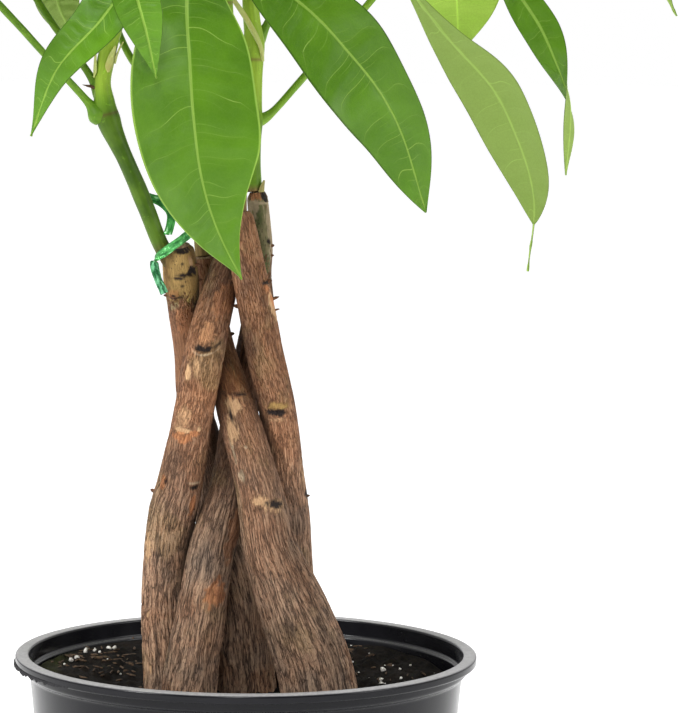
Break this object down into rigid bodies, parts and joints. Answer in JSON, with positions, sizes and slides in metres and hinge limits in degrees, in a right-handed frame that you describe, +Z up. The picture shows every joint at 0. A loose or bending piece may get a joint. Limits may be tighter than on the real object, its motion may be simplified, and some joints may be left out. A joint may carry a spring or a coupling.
{
  "type": "potted money tree",
  "caption": "Braided-stem money tree with hand-shaped leaves on slender petioles, rooted in soil in a round black nursery pot with a rolled rim and drain holes.",
  "frame": {"origin": "centre of the pot's flat underside, on the surface that it stands on", "axes": "+Z up along the pot's axis, -Y towards the front that the picture shows, +X to the viewer's right there"},
  "size_m": [0.3311, 0.3367, 0.4667],
  "materials": {
    "black_plastic": "satin moulded",
    "soil": "rough crumbly",
    "bark": "rough fissured",
    "foliage": "slightly glossy",
    "foil": "metallic foil"
  },
  "bodies": {
    "root": {"pot": "black_plastic", "soil": "soil", "trunk_left": "bark", "shoot_left": "foliage", "trunk_front": "bark", "shoot_front": "foliage", "trunk_right": "bark", "shoot_right": "foliage", "trunk_middle": "bark", "shoot_middle": "foliage", "trunk_back": "bark", "shoot_back": "foliage", "tie": "foil"}
  },
  "joints": []
}
